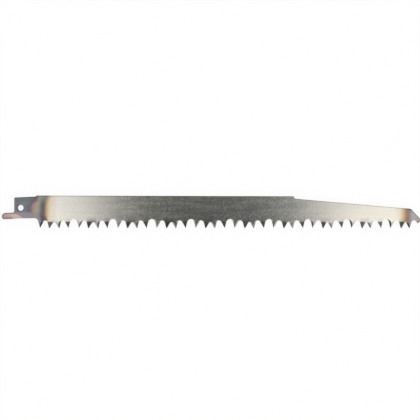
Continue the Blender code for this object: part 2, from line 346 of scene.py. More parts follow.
# %% The colours along the tang and along the nose
TANG_COLOURS = [
    # mm past the brown line towards the tang's end, and the red, green and blue there, 0 to 255
    (-8.0, 243, 238, 226),
    (-5.0, 237, 226, 212),
    (-3.8, 233, 221, 204),
    (-2.6, 221, 206, 176),
    (-1.4, 187, 166, 123),
    (-0.3, 139, 111, 82),
    (0.4, 118, 98, 86),
    (1.3, 113, 115, 118),
    (2.2, 136, 147, 149),
    (3.1, 165, 172, 161),
    (4.4, 180, 172, 147),
    (5.4, 185, 163, 138),
    (6.4, 183, 149, 135),
    (7.4, 150, 120, 121),
    (8.6, 130, 112, 124),
    (10.0, 124, 128, 140),
    (11.4, 122, 138, 143),
    (13.0, 127, 138, 136),
    (16.0, 125, 129, 132),
]
NOSE_COLOURS = [
    # mm past the brown line towards the nose, and the same
    (-7.5, 243, 238, 226),
    (-4.9, 236, 230, 210),
    (-3.7, 232, 220, 194),
    (-2.6, 219, 201, 165),
    (-1.4, 196, 171, 129),
    (-0.6, 172, 146, 114),
    (0.3, 150, 129, 118),
    (1.2, 141, 131, 138),
    (2.3, 162, 158, 167),
    (3.6, 186, 182, 180),
    (5.0, 182, 173, 165),
    (8.0, 180, 168, 160),
]
print("heat colours:", len(TANG_COLOURS), "along the tang,", len(NOSE_COLOURS), "along the nose")

# %% The colours of the patches, and where they lie
LOWER_COLOURS = [
    # along the tang's lower edge
    (1.2, 104, 94, 98),
    (2.0, 118, 116, 134),
    (3.0, 152, 151, 158),
    (4.6, 158, 150, 141),
    (7.0, 153, 151, 155),
]
TOP_COLOURS = [
    # along the tang's upper edge
    (2.5, 160, 158, 152),
    (4.5, 122, 108, 102),
    (7.0, 116, 113, 116),
    (10.5, 132, 131, 134),
]
TAIL_COLOURS = [
    # mm from the first tooth, along the tail
    (-21.7, 152, 130, 128),
    (-20.0, 190, 162, 160),
    (-17.5, 203, 180, 167),
    (-14.5, 212, 190, 174),
    (-11.0, 208, 187, 175),
]
TAIL_RIM = (146, 124, 116)
NOSE_TEETH = (175, 169, 165)
NOSE_RIM = (86, 78, 84)
TEETH_PATCHES = [
    # colour, share, edges in mm past the tang's brown line, edges in mm over the tips
    ((150, 145, 161), 1.0, [(1.2, 2.0)], [(6.4, 5.0)]),  # the first tooth
    ((105, 90, 99), 0.9, [(-0.7, 0.1), (2.0, 1.3)], [(7.4, 6.2)]),  # the rim behind it
    ((224, 221, 214), 0.8, [(1.6, 0.8)], [(4.6, 3.2)]),  # the other teeth
]
# A pair is where an edge starts and where it is full, in mm. Two more numbers are its value at both.
BOW_HEIGHT = 11.1
BOW = (2.0, 4.4, 0.028, 0.13)
FOOT_BOW_HEIGHT = 7.0
FOOT_BOW = (2.0, 0.5, 0.0, 0.6)
FOOT_BOW_END = (-2.6, -1.0)
LOWER_START = (1.0, 1.8)
LOWER_PALE = ((3.6, 4.4), (6.0, 7.4))
LOWER_PALE_SHARE = 0.4
LOWER_HEIGHT = (9.9, 8.0)
TOP_START = (-2.5, -1.0)
TOP_HEIGHT = (13.0, 17.5)
TOP_SHARE = 0.55
TAIL_MIDDLE = 7.15
TAIL_UPPER_RIM = (0.3, 1.5)
TAIL_LOWER_RIM = (-0.3, -1.5)
TAIL_LOWER_RIM_START = (-14.5, -16.5)
TAIL_RIM_SHARE = 0.75
TAIL_LINE_LEAN = 1.5
TAIL_LINE = (0.0, -2.0)
NOSE_TEETH_START = (-4.5, -3.0)
NOSE_TEETH_HEIGHT = (4.4, 3.0)
NOSE_TEETH_SHARE = 0.9
NOSE_RIM_LEAN = 0.42
NOSE_RIM_START = (98.7, 99.4)
NOSE_RIM_SHARE = 0.7
NOSE_WANDER = 0.4
NOSE_HALF = (90.0, 130.0)
OXIDE_START = (-4.0, 4.0)


# %% Heat colours as a node group
FIRST_TOOTH = (98.122, 9.3, 0.0)  # from the first tooth's tip to the middle of the blade's box, in mm
EDGE_WAVES_PER_MM = 0.28


def heat_ramp(value, stops):
    """The colours of a table along a value in millimetres."""
    return ramp_along(heat, value, [(place, linear(*colour)) for place, *colour in stops])


def patch(under, colour, most, *edges):
    """A softly edged patch of a colour: each edge is a value, where it starts and where it is full."""
    share = product(heat, most, *[eased(heat, *edge) for edge in edges])
    return mixed(heat, share, under, linear(*colour) if isinstance(colour, tuple) else colour)


# The two lines are in mm from the first tooth, and the wander is how far the colours stray from them.
heat, given, gives = new_group(
    "heat_colours", "ShaderNodeTree",
    [("Tang Brown Line", "Float", 2.37), ("Nose Brown Line", "Float", 209.7), ("Wander", "Float", 0.7)],
    [("Colour", "Color"), ("Oxide", "Float")],
)
in_mm = scaled(heat, object_place(heat), (1 / MM,) * 3, FIRST_TOOTH)
place = parts_of(heat, in_mm)
wander = calc(heat, 'SUBTRACT', noise(heat, in_mm, EDGE_WAVES_PER_MM, 3.0), 0.5)
wander = product(heat, wander, given["Wander"])
height = calc(heat, 'ADD', place["Y"], wander)
past_line = calc(heat, 'SUBTRACT', given["Tang Brown Line"], place["X"])
over_axis = calc(heat, 'MAXIMUM', calc(heat, 'SUBTRACT', place["Y"], BOW_HEIGHT), 0.0)
bow = product(heat, over_axis, over_axis, eased(heat, past_line, *BOW))
below_axis = calc(heat, 'MAXIMUM', calc(heat, 'SUBTRACT', FOOT_BOW_HEIGHT, place["Y"]), 0.0)
foot_bow = product(heat, below_axis, eased(heat, past_line, *FOOT_BOW), eased(heat, past_line, *FOOT_BOW_END))
tang_heat = calc(heat, 'ADD', calc(heat, 'ADD', past_line, wander), calc(heat, 'ADD', bow, foot_bow))
colour = heat_ramp(tang_heat, TANG_COLOURS)

# %% The patches of the tang and its teeth
pale_from, pale_to = [eased(heat, past_line, *edge) for edge in LOWER_PALE]
less = product(heat, calc(heat, 'SUBTRACT', pale_from, pale_to), LOWER_PALE_SHARE)
share = calc(heat, 'SUBTRACT', eased(heat, past_line, *LOWER_START), less)
colour = patch(colour, heat_ramp(past_line, LOWER_COLOURS), share, (height, *LOWER_HEIGHT))
for patch_colour, most, along, over_tips in TEETH_PATCHES:
    edges = [(past_line, *edge) for edge in along] + [(height, *edge) for edge in over_tips]
    colour = patch(colour, patch_colour, most, *edges)
top_colour = heat_ramp(past_line, TOP_COLOURS)
colour = patch(colour, top_colour, TOP_SHARE, (height, *TOP_HEIGHT), (past_line, *TOP_START))
print("heat nodes so far:", len(heat.nodes))

# %% The tail and the nose
off_tail = calc(heat, 'SUBTRACT', place["Y"], TAIL_MIDDLE)
lower_rim = product(heat, eased(heat, off_tail, *TAIL_LOWER_RIM),
                    eased(heat, place["X"], *TAIL_LOWER_RIM_START))
rim = calc(heat, 'MAXIMUM', eased(heat, off_tail, *TAIL_UPPER_RIM), lower_rim)
rim_share = product(heat, rim, TAIL_RIM_SHARE)
tail_colour = patch(heat_ramp(place["X"], TAIL_COLOURS), TAIL_RIM, rim_share)
past_tang = calc(heat, 'MULTIPLY_ADD', place["Y"], TAIL_LINE_LEAN, calc(heat, 'ADD', place["X"], wander))
colour = patch(colour, tail_colour, 1.0, (past_tang, *TAIL_LINE))

nose_place = calc(heat, 'MULTIPLY_ADD', wander, NOSE_WANDER, place["X"])
nose_heat = calc(heat, 'SUBTRACT', nose_place, given["Nose Brown Line"])
nose_colour = heat_ramp(nose_heat, NOSE_COLOURS)
nose_colour = patch(nose_colour, NOSE_TEETH, NOSE_TEETH_SHARE,
                    (nose_heat, *NOSE_TEETH_START), (height, *NOSE_TEETH_HEIGHT))
to_corner = calc(heat, 'MULTIPLY_ADD', place["X"], NOSE_RIM_LEAN, place["Y"])
nose_colour = patch(nose_colour, NOSE_RIM, NOSE_RIM_SHARE, (to_corner, *NOSE_RIM_START))
feed(heat, gives["Colour"], patch(colour, nose_colour, 1.0, (place["X"], *NOSE_HALF)))
feed(heat, gives["Oxide"], eased(heat, calc(heat, 'MAXIMUM', tang_heat, nose_heat), *OXIDE_START))
print("heat nodes:", len(heat.nodes))

# %% [markdown]
# ## The grain of the steel
#
# The strip comes from the mill with a fine grain and is not quite flat. Its slopes are less than a degree,
# but a mirror doubles them, so they show as speckles and clouds where the reflection turns from light to
# dark. Faint lines lie along the strip, as it was rolled, and across it, as it was ground. Each of these is
# a noise. Together they make one height for a Bump node, in thousandths of a millimetre, and faint changes
# of shade and of gloss. This is a group too.

# %% Grain as a node group
CLOUDS_PER_MM = 0.11
SPECKS_PER_MM = 1.4
ACROSS_PER_MM = (1.3, 0.05, 0.4)
ALONG_PER_MM = (0.06, 0.55, 0.4)
ACROSS_SHARE = 0.25
LINES_IN_GLOSS = 0.4

grain, given, gives = new_group(
    "steel_grain", "ShaderNodeTree",
    [("Clouds", "Float", 1.0), ("Speckle", "Float", 1.0), ("Lines", "Float", 1.0)],
    [("Height", "Float"), ("Shade", "Float"), ("Spots", "Float"), ("Dulled", "Float")],
)
in_mm = scaled(grain, object_place(grain), (1 / MM,) * 3)
clouds = noise(grain, in_mm, CLOUDS_PER_MM, 1.0)
speckle = noise(grain, in_mm, SPECKS_PER_MM, 2.0, 0.6)
across = noise(grain, scaled(grain, in_mm, ACROSS_PER_MM), 1.0)
along = noise(grain, scaled(grain, in_mm, ALONG_PER_MM), 1.0)
height = product(grain, clouds, given["Clouds"])
height = calc(grain, 'MULTIPLY_ADD', speckle, given["Speckle"], height)
height = calc(grain, 'MULTIPLY_ADD', across, given["Lines"], height)
lines = calc(grain, 'ADD', product(grain, across, ACROSS_SHARE), product(grain, along, 1 - ACROSS_SHARE))
dulled = calc(grain, 'ADD', product(grain, speckle, 1 - LINES_IN_GLOSS),
              product(grain, lines, LINES_IN_GLOSS))
for name, value in (("Height", height), ("Shade", lines), ("Spots", speckle), ("Dulled", dulled)):
    feed(grain, gives[name], value)
print("grain nodes:", len(grain.nodes))

# %% [markdown]
# ## Three finishes of one steel
#
# The two flat faces are polished. The walls that the punch sheared are duller, with a smooth band next to
# the front face and a torn one behind it. The gullets are ground: the wheel leaves scratches that run
# through the thickness, the way that it slants. Each is a Principled surface with full Metallic, and they
# differ in what their colour, roughness and bump are made of.


# %% What the three finishes share
BUMP_UNIT = 0.001 * MM


def new_finish(name, clouds, speckle, lines):
    """A steel material with the heat colours and the grain in it: its tree and what these two give."""
    material = bpy.data.materials.new(name)
    material.use_nodes = True
    tree = material.node_tree
    heated = add(tree, "ShaderNodeGroup", node_tree=heat).outputs
    strengths = {"Clouds": clouds, "Speckle": speckle, "Lines": lines}
    return material, tree, heated, add(tree, "ShaderNodeGroup", strengths, node_tree=grain).outputs


def dress(tree, heat_colour, shade, roughness, height):
    """Give the surface the heat colour times a shade, a roughness, and a height as its bump."""
    bump = add(tree, "ShaderNodeBump", {"Height": height, "Distance": BUMP_UNIT}).outputs[0]
    colour = mixed(tree, 1.0, heat_colour, shade, 'MULTIPLY')
    surface = tree.nodes["Principled BSDF"].inputs
    values = {"Base Color": colour, "Metallic": 1.0, "Roughness": roughness, "Normal": bump}
    for name, value in values.items():
        feed(tree, surface[name], value)
    print("nodes of the finish:", len(tree.nodes))


# %% [markdown]
# ## The polished faces
#
# Reflections do most of the work here. What the photograph shows besides is in the shade: fine spots that
# are strongest between the middle and the ends; painted light, which makes the face a little darker in the
# middle of the blade than at its ends and the back a little lighter in the middle than at its ends; and
# painted shade over the pairs of teeth that were bent, for the dark that the bent steel there mirrors.

# %% The polished finish
# Again a pair is where a change starts and ends, in mm or in a noise, and two more are its value at both.
LINES_TONE = (0.35, 0.65, 0.955, 1.045)
# Painted light: the face is a little darker in the middle of the blade and lighter towards its ends, and its
# back is lighter in the middle than at its ends.
PAINTED_LIGHT_TO_ENDS = (35.0, 75.0, 0.95, 1.03)
PAINTED_LIGHT_BACK_HEIGHT = (6.8, 15.3)
PAINTED_LIGHT_AT_BACK = (10.0, 75.0, 0.12, -0.05)
SPOT_TONE = (0.35, 0.65, -1.0, 1.0)
SPOTS_OFF_MIDDLE = (5.0, 25.0, 0.03, 0.068)
SPOTS_AT_ENDS = (50.0, 80.0, 1.0, 0.25)
FOUR_TEETH = 22.31  # mm from one group of four teeth to the next
# Painted shade over each pair of bent teeth, stronger towards the tang, for the dark that the bent steel
# mirrors.
PAINTED_BEND_SHADE_PAIRS = [((3.9, 5.6), (9.2, 10.6, 1.0, 0.0)), ((14.6, 15.8), (17.0, 18.2, 0.7, 0.0))]
PAINTED_BEND_SHADE_HEIGHT = (6.6, 4.2)
PAINTED_BEND_SHADE_START = (8.0, 28.0)
PAINTED_BEND_SHADE_TONE = (20.0, 140.0, 0.36, 0.16)
DULLED_ROUGHNESS = (0.44, 0.62, 0.09, 0.155)
OXIDE_ROUGHNESS = 0.18

polished, tree, heated, grained = new_finish("polished_steel", clouds=9.0, speckle=4.0, lines=0.4)
place = parts_of(tree, scaled(tree, object_place(tree), (1 / MM,) * 3, FIRST_TOOTH))
off_middle = calc(tree, 'ABSOLUTE', calc(tree, 'SUBTRACT', place["X"], FIRST_TOOTH[0]))
# painted light along the back
painted_back_light = product(tree, eased(tree, place["Y"], *PAINTED_LIGHT_BACK_HEIGHT), eased(tree, off_middle, *PAINTED_LIGHT_AT_BACK))
spots = product(tree, eased(tree, grained["Spots"], *SPOT_TONE), eased(tree, off_middle, *SPOTS_OFF_MIDDLE),
                eased(tree, off_middle, *SPOTS_AT_ENDS))
in_row = calc(tree, 'FLOORED_MODULO', place["X"], FOUR_TEETH)
pairs = [product(tree, *[eased(tree, in_row, *edge) for edge in edges]) for edges in PAINTED_BEND_SHADE_PAIRS]
# painted shade over the bent teeth
painted_bend_shade = product(tree, calc(tree, 'MAXIMUM', *pairs), eased(tree, place["Y"], *PAINTED_BEND_SHADE_HEIGHT),
                   eased(tree, place["X"], *PAINTED_BEND_SHADE_START), eased(tree, place["X"], *PAINTED_BEND_SHADE_TONE))
shade = product(tree, eased(tree, grained["Shade"], *LINES_TONE), eased(tree, off_middle, *PAINTED_LIGHT_TO_ENDS),
                calc(tree, 'ADD', 1.0, painted_back_light), calc(tree, 'ADD', 1.0, spots),
                calc(tree, 'SUBTRACT', 1.0, painted_bend_shade))
oxide_roughness = product(tree, heated["Oxide"], OXIDE_ROUGHNESS)
roughness = calc(tree, 'MAXIMUM', eased(tree, grained["Dulled"], *DULLED_ROUGHNESS), oxide_roughness)
dress(tree, heated["Colour"], grey(tree, shade), roughness, grained["Height"])

# %% The sheared finish
BAND_LINE = 1.35 * MM
BAND_WAVE = 0.5 * MM
BAND_BLUR = 0.06 * MM
SMOOTH_WALL = (0.64, 0.64, 0.63, 1.0)
TORN_WALL = (0.5, 0.5, 0.5, 1.0)
WALL_ROUGHNESS = (0.34, 0.5)
WALL_RELIEF = (0.3, 1.0)

sheared, tree, heated, grained = new_finish("sheared_steel", clouds=4.0, speckle=22.0, lines=20.0)
place = parts_of(tree, object_place(tree))
wave = product(tree, calc(tree, 'SUBTRACT', grained["Dulled"], 0.5), BAND_WAVE)
torn = eased(tree, calc(tree, 'ADD', place["Z"], wave), BAND_LINE + BAND_BLUR, BAND_LINE - BAND_BLUR)
roughness = eased(tree, torn, 0.0, 1.0, *WALL_ROUGHNESS)
relief = product(tree, grained["Height"], eased(tree, torn, 0.0, 1.0, *WALL_RELIEF))
dress(tree, heated["Colour"], mixed(tree, torn, SMOOTH_WALL, TORN_WALL), roughness, relief)

# %% The ground finish
GRIND_SLANT = math.tan(30 * DEGREE)
SCRATCHES_PER_MM = 7.0
SCRATCH_DEPTH = 2.5
# The ground steel is about half as light as the polished faces: partly its own scratched, duller colour and
# partly painted shade for the dark that its bevels mirror.
SCRATCH_AND_PAINTED_SHADE_TONE = (0.35, 0.65, 0.44, 0.52)
GROUND_ROUGHNESS = 0.22

ground, tree, heated, grained = new_finish("ground_steel", clouds=0.0, speckle=5.0, lines=0.0)
place = parts_of(tree, object_place(tree))
way = add(tree, "ShaderNodeAttribute", attribute_name="ground").outputs["Fac"]
along_slant = product(tree, place["Z"], GRIND_SLANT, way)
past_scratch = place_of(tree, calc(tree, 'SUBTRACT', place["X"], along_slant), place["Y"])
scratches = noise(tree, past_scratch, SCRATCHES_PER_MM / MM)
# scratches, with painted shade that darkens the whole ground finish
shade = grey(tree, eased(tree, scratches, *SCRATCH_AND_PAINTED_SHADE_TONE))
relief = calc(tree, 'MULTIPLY_ADD', scratches, SCRATCH_DEPTH, grained["Height"])
dress(tree, heated["Colour"], shade, GROUND_ROUGHNESS, relief)
print("finishes:", [material.name for material in (polished, sheared, ground)])

# %% [markdown]
# ## The punched strip
#
# The blade starts as a strip that a punch cut out of sheet steel. Its outline is a short list of corners,
# most of them rounded, so mesh code suits it: round the corners, fill the outline, extrude it by the
# thickness. The punch also drew the edge of the front face down a little. Rings that are inset from the
# outline, each a bit lower than the last, give that edge a quarter of an ellipse. The outline follows the
# photograph a little closer than the CAD model does, by less than half a millimetre, in finer steps.

# %% Sizes of the strip
THICKNESS = 1.5 * MM
HEEL_HEIGHT = 18.6 * MM
BACK_TAPER = 0.15 * DEGREE
HEEL_TO_STEP = 146.3 * MM
STEP_TO_NOSE = 72.95 * MM
HEEL_TO_TOOTH = 1.1 * MM
TANG_LENGTH = 13.45 * MM
TANG_FOOT_HEIGHT = 5.65 * MM
TANG_WIDTH = 12.4 * MM
TANG_FOOT_LEAN = 1.0 * DEGREE
TANG_TOP_LEAN = 2.6 * DEGREE
TANG_CORNER_RADIUS = 0.7 * MM
TAIL_LENGTH = 7.05 * MM
TAIL_WIDTH = 3.65 * MM
TAIL_DROP = 0.2 * MM
TAIL_DROP_SLOPE = 8 * DEGREE
TAIL_LEAN = 2.3 * DEGREE
TAIL_FILLET = 0.9 * MM
TAIL_ROUNDINGS = (0.6, 0.38)  # at its top and foot, as shares of its width
SHOULDER_SETBACK = 1.4 * MM
SHOULDER_ANGLE = 32 * DEGREE
SHOULDER_RADIUS = 0.6 * MM
HEEL_FILLET = 1.8 * MM
STEP_DEPTH = 1.3 * MM
STEP_LEAN = 18 * DEGREE
STEP_FILLET = 1.5 * MM
SPINE_SLOPE = 5.1 * DEGREE
NOSE_SLOPE = 46.4 * DEGREE
NOSE_POINT_HEIGHT = 4.6 * MM
NOSE_UNDERCUT = 43 * DEGREE
NOSE_CORNER_RADIUS = 2.0 * MM
NOSE_POINT_RADIUS = 0.6 * MM
CORNER_STEPS = 10
STRAIGHT_HALF = 89 * DEGREE  # half the angle of a corner that is as good as straight
MERGE_DISTANCE = 0.001 * MM
HEEL = -HEEL_TO_TOOTH
NOSE = HEEL + HEEL_TO_STEP + STEP_TO_NOSE


# %% Round the corners of an outline
def crossing(point_a, angle_a, point_b, angle_b):
    """Where two lines meet, each given by a point and its angle to the X axis."""
    way_a = Vector((math.cos(angle_a), math.sin(angle_a)))
    way_b = Vector((math.cos(angle_b), math.sin(angle_b)))
    apart = point_b - point_a
    along = (apart.x * way_b.y - apart.y * way_b.x) / (way_a.x * way_b.y - way_a.y * way_b.x)
    return point_a + way_a * along


def rounded(corners):
    """The outline through these corners, each a point and the radius that rounds it."""
    outline = []
    for index, (corner, radius) in enumerate(corners):
        before = (corners[index - 1][0] - corner).normalized()
        after = (corners[(index + 1) % len(corners)][0] - corner).normalized()
        half_angle = before.angle(after) / 2
        if radius <= 0 or half_angle > STRAIGHT_HALF:
            outline.append(corner)
            continue
        centre = corner + (before + after).normalized() * radius / math.sin(half_angle)
        start = corner + before * radius / math.tan(half_angle) - centre
        end = corner + after * radius / math.tan(half_angle) - centre
        sweep = start.angle_signed(end)
        for step in range(CORNER_STEPS + 1):
            turn = Matrix.Rotation(-sweep * step / CORNER_STEPS, 2)
            point = centre + turn @ start
            if not outline or (point - outline[-1]).length > MERGE_DISTANCE:
                outline.append(point)
    return outline


# %% Corners of the blade, from the tail under to the nose and back
BELOW_TIPS = 1.0 * MM
tang_end = Vector((HEEL - TANG_LENGTH, 0))
upright = 90 * DEGREE
foot_at_heel = Vector((HEEL, TANG_FOOT_HEIGHT))
top_at_heel = foot_at_heel + Vector((0, TANG_WIDTH))
back_at_heel = Vector((HEEL, HEEL_HEIGHT))
foot_at_end = crossing(foot_at_heel, TANG_FOOT_LEAN, tang_end, upright)
top_at_end = crossing(top_at_heel, TANG_TOP_LEAN, tang_end, upright)
tail_foot = foot_at_end - Vector((0, TAIL_DROP))
along_tail = Vector((math.cos(TAIL_LEAN), math.sin(TAIL_LEAN)))
tail_foot_end = tail_foot - along_tail * TAIL_LENGTH
tail_top_end = tail_foot_end + along_tail.orthogonal() * TAIL_WIDTH
tail_top = crossing(tail_top_end, TAIL_LEAN, tang_end, upright)
drop_end = crossing(tail_foot, TAIL_DROP_SLOPE, foot_at_heel, TANG_FOOT_LEAN)
behind_heel = Vector((HEEL - SHOULDER_SETBACK, 0))
shoulder_foot = crossing(top_at_heel, TANG_TOP_LEAN, behind_heel, upright)
shoulder_top = crossing(shoulder_foot, SHOULDER_ANGLE, back_at_heel, -BACK_TAPER)
step_top = crossing(Vector((HEEL + HEEL_TO_STEP, 0)), upright, back_at_heel, -BACK_TAPER)
step_foot = step_top + Vector((math.tan(STEP_LEAN), -1)) * STEP_DEPTH
nose_point = Vector((NOSE, NOSE_POINT_HEIGHT))
nose_corner = crossing(step_foot, -SPINE_SLOPE, nose_point, -NOSE_SLOPE)
under_tips = Vector((HEEL, -BELOW_TIPS))
under_nose = crossing(under_tips, 0.0, nose_point, NOSE_UNDERCUT)
outline = rounded([
    (tail_top_end, TAIL_WIDTH * TAIL_ROUNDINGS[0]),
    (tail_foot_end, TAIL_WIDTH * TAIL_ROUNDINGS[1]),
    (tail_foot, 0),
    (drop_end, 0),
    (foot_at_heel, HEEL_FILLET),
    (under_tips, 0),
    (under_nose, 0),
    (nose_point, NOSE_POINT_RADIUS),
    (nose_corner, NOSE_CORNER_RADIUS),
    (step_foot, STEP_FILLET),
    (step_top, 0),
    (shoulder_top, SHOULDER_RADIUS),
    (shoulder_foot, SHOULDER_RADIUS),
    (top_at_end, TANG_CORNER_RADIUS),
    (tail_top, TAIL_FILLET),
])
print("outline:", len(outline), "points")

# %% Extrude it and draw the front edge down
ROLL_WIDTH = 0.5 * MM
ROLL_DEPTH = 0.14 * MM
ROLL_STEPS = 6


def roll_profile():
    """Quarter ellipse of the drawn edge: pairs of distance inwards and drop below the face."""
    angles = [math.pi / 2 * step / ROLL_STEPS for step in range(ROLL_STEPS + 1)]
    return [(ROLL_WIDTH * (1 - math.cos(a)), ROLL_DEPTH * (1 - math.sin(a))) for a in angles]


strip_shape = bmesh.new()
is_sheared = strip_shape.faces.layers.float.new("sheared")
is_ground = strip_shape.faces.layers.float.new("ground")
rear_face = strip_shape.faces.new([strip_shape.verts.new((p.x, p.y, -THICKNESS / 2)) for p in outline])
raised = bmesh.ops.extrude_face_region(strip_shape, geom=[rear_face], use_keep_orig=True)["geom"]
front_face = next(item for item in raised if isinstance(item, bmesh.types.BMFace))
for face in strip_shape.faces:
    face[is_sheared] = 0.0 if face in (front_face, rear_face) else 1.0
profile = roll_profile()
for vert in front_face.verts:
    vert.co.z = THICKNESS / 2 - profile[0][1]
for (last_inset, _), (inset, drop) in zip(profile, profile[1:]):
    bmesh.ops.inset_region(strip_shape, faces=[front_face], thickness=inset - last_inset,
                           use_even_offset=True)
    for vert in front_face.verts:
        vert.co.z = THICKNESS / 2 - drop
print("strip:", len(strip_shape.faces), "faces")

# %% [markdown]
# ## Lines to bend along
#
# The teeth are bent to the side later. A flat face with no points inside it can't bend, so the toothed
# edge gets lines where it will: a few level ones where the bend starts, and many upright ones, because
# between two teeth the steel twists from one side over to the other.

# %% Cut the bend lines, and the strip off level at the tips
ON_PLANE = 1e-9
BEND_HEIGHT = 4.3 * MM
BEND_ROUNDING = 1.4 * MM
BEND_STEPS = 6
UPRIGHT_SPACING = 0.4 * MM
UPRIGHT_FOOT = 1.6 * MM


def slice_faces(shape, faces, point, normal):
    """Cut these faces with a plane, and give back the faces that it leaves on the plane's far side."""
    geometry = set(faces)
    for face in faces:
        geometry.update(face.edges)
        geometry.update(face.verts)
    parts = bmesh.ops.bisect_plane(shape, geom=list(geometry), dist=ON_PLANE, plane_co=point, plane_no=normal)
    far = [f for f in parts["geom"] if isinstance(f, bmesh.types.BMFace)]
    return [f for f in far if (f.calc_center_median() - Vector(point)).dot(Vector(normal)) > 0]


everything = strip_shape.verts[:] + strip_shape.edges[:] + strip_shape.faces[:]
bmesh.ops.bisect_plane(strip_shape, geom=everything, dist=ON_PLANE, plane_co=(0, 0, 0),
                       plane_no=(0, -1, 0), clear_outer=True)
open_edges = [edge for edge in strip_shape.edges if edge.is_boundary]
for face in bmesh.ops.contextual_create(strip_shape, geom=open_edges)["faces"]:
    face[is_sheared] = 0.0
    face[is_ground] = 1.0
levels = [BEND_HEIGHT - BEND_ROUNDING * step / BEND_STEPS for step in range(BEND_STEPS + 1)] + [UPRIGHT_FOOT]
for height in levels:
    slice_faces(strip_shape, strip_shape.faces[:], (0, height, 0), (0, 1, 0))
band = []
for face in strip_shape.faces:
    middle = face.calc_center_median()
    if UPRIGHT_FOOT < middle.y < BEND_HEIGHT and abs(face.normal.z) > 0.5:
        band.append(face)
x = HEEL + UPRIGHT_SPACING
while x < NOSE:
    band = slice_faces(strip_shape, band, (x, 0, 0), (1, 0, 0))
    x += UPRIGHT_SPACING
bmesh.ops.recalc_face_normals(strip_shape, faces=strip_shape.faces)
strip = new_object("saw_blade_strip", strip_shape, polished)
print("strip with its bend lines:", len(strip.data.polygons), "faces")

# %% [markdown]
# ## The pin hole
#
# A pin in the saw's clamp goes through this hole. The same punch made it, so its rim is drawn down like the
# outline. The punch itself is a turned shape: a straight shank that flares out at the rim. It is cut out of
# the strip by the node tree below.

# %% The punch for the pin hole
PIN_HOLE_DIAMETER = 3.4 * MM
PIN_HOLE_FROM_END = 3.6 * MM
PIN_HOLE_FROM_FOOT = 6.1 * MM
HOLE_STEPS = 64
PAST_FACE = 1.0 * MM

hole_radius = PIN_HOLE_DIAMETER / 2
hole_height = TANG_FOOT_HEIGHT - TANG_LENGTH * math.tan(TANG_FOOT_LEAN) + PIN_HOLE_FROM_FOOT
hole_centre = Vector((HEEL - TANG_LENGTH + PIN_HOLE_FROM_END, hole_height, 0))
rim = [(hole_radius + ROLL_WIDTH, THICKNESS / 2 + PAST_FACE), (hole_radius + ROLL_WIDTH, THICKNESS / 2)]
rim += [(hole_radius + inset, THICKNESS / 2 - drop) for inset, drop in reversed(roll_profile()[:-1])]
rim += [(hole_radius, -THICKNESS / 2 - PAST_FACE)]
punch_shape = bmesh.new()
is_sheared = punch_shape.faces.layers.float.new("sheared")
rings = []
for ring_radius, height in rim:
    place_ring = Matrix.Translation(hole_centre + Vector((0, 0, height)))
    ring = bmesh.ops.create_circle(punch_shape, segments=HOLE_STEPS, radius=ring_radius, matrix=place_ring)
    rings.append(ring["verts"])
for upper, lower in zip(rings, rings[1:]):
    for index in range(HOLE_STEPS):
        after = (index + 1) % HOLE_STEPS
        side = punch_shape.faces.new((upper[index], upper[after], lower[after], lower[index]))
        side[is_sheared] = 1.0 if lower is rings[-1] else 0.0
punch_shape.faces.new(rings[0])
punch_shape.faces.new(rings[-1])
bmesh.ops.recalc_face_normals(punch_shape, faces=punch_shape.faces)
punch = new_object("pin_punch", punch_shape, sheared)
print("punch:", len(punch.data.polygons), "faces")

# %% [markdown]
# ## One row of gullets
#
# The gullets between the teeth follow a rule: four kinds take turns, and every fourth one is the same. So
# Geometry Nodes make them. A circle of points filled with one face becomes the profile of the grinding
# wheel, by moving each point to a place that depends on its number: down the right flank, round the crown,
# down the left flank. Extruded at a slant it is the space that the wheel takes out, and instances on a line
# repeat it along the blade. The tree is a group, because each of the four kinds uses it once.

# %% A node group for a row of one kind of gullet
CROWN_STEPS = 24
KIND_SIZES = ("Centre", "Depth", "Radius", "Left Flank", "Right Flank")
SHARED_SIZES = ("Reach", "Foot", "Pitch")

grind, given, gives = new_group(
    "gullet_row", "GeometryNodeTree",
    [(size, "Float") for size in (*KIND_SIZES, "Slant", *SHARED_SIZES)] + [("Rows", "Int")],
    [("Gullets", "Geometry")],
)


def flank_foot(flank):
    """How far a flank is from the crown's centre at the foot of the profile."""
    touch_x = product(grind, given["Radius"], calc(grind, 'COSINE', flank))
    touch_y = calc(grind, 'MULTIPLY_ADD', given["Radius"], calc(grind, 'SINE', flank), crown_height)
    fall = calc(grind, 'SUBTRACT', touch_y, given["Foot"])
    return calc(grind, 'MULTIPLY_ADD', fall, calc(grind, 'TANGENT', flank), touch_x)


def picked(test, first, second):
    """The first value where the test is 0, and the second where it is 1."""
    return calc(grind, 'MULTIPLY_ADD', test, calc(grind, 'SUBTRACT', second, first), first)


crown_height = calc(grind, 'SUBTRACT', given["Depth"], given["Radius"])
number = add(grind, "GeometryNodeInputIndex").outputs[0]
turned = calc(grind, 'DIVIDE', calc(grind, 'SUBTRACT', number, 1.0), float(CROWN_STEPS))
end_angle = calc(grind, 'SUBTRACT', math.pi, given["Left Flank"])
angle = picked(turned, given["Right Flank"], end_angle)
crown_x = product(grind, given["Radius"], calc(grind, 'COSINE', angle))
crown_y = calc(grind, 'MULTIPLY_ADD', given["Radius"], calc(grind, 'SINE', angle), crown_height)
at_right_foot = calc(grind, 'LESS_THAN', number, 0.5)
at_left_foot = calc(grind, 'GREATER_THAN', number, CROWN_STEPS + 1.5)
profile_x = picked(at_right_foot, crown_x, flank_foot(given["Right Flank"]))
left_foot = product(grind, flank_foot(given["Left Flank"]), -1.0)
profile_x = picked(at_left_foot, profile_x, left_foot)
profile_y = picked(calc(grind, 'ADD', at_right_foot, at_left_foot), crown_y, given["Foot"])
wheel = add(grind, "GeometryNodeMeshCircle", {"Vertices": CROWN_STEPS + 3}, fill_type='NGON')
start_x = product(grind, given["Slant"], given["Reach"])
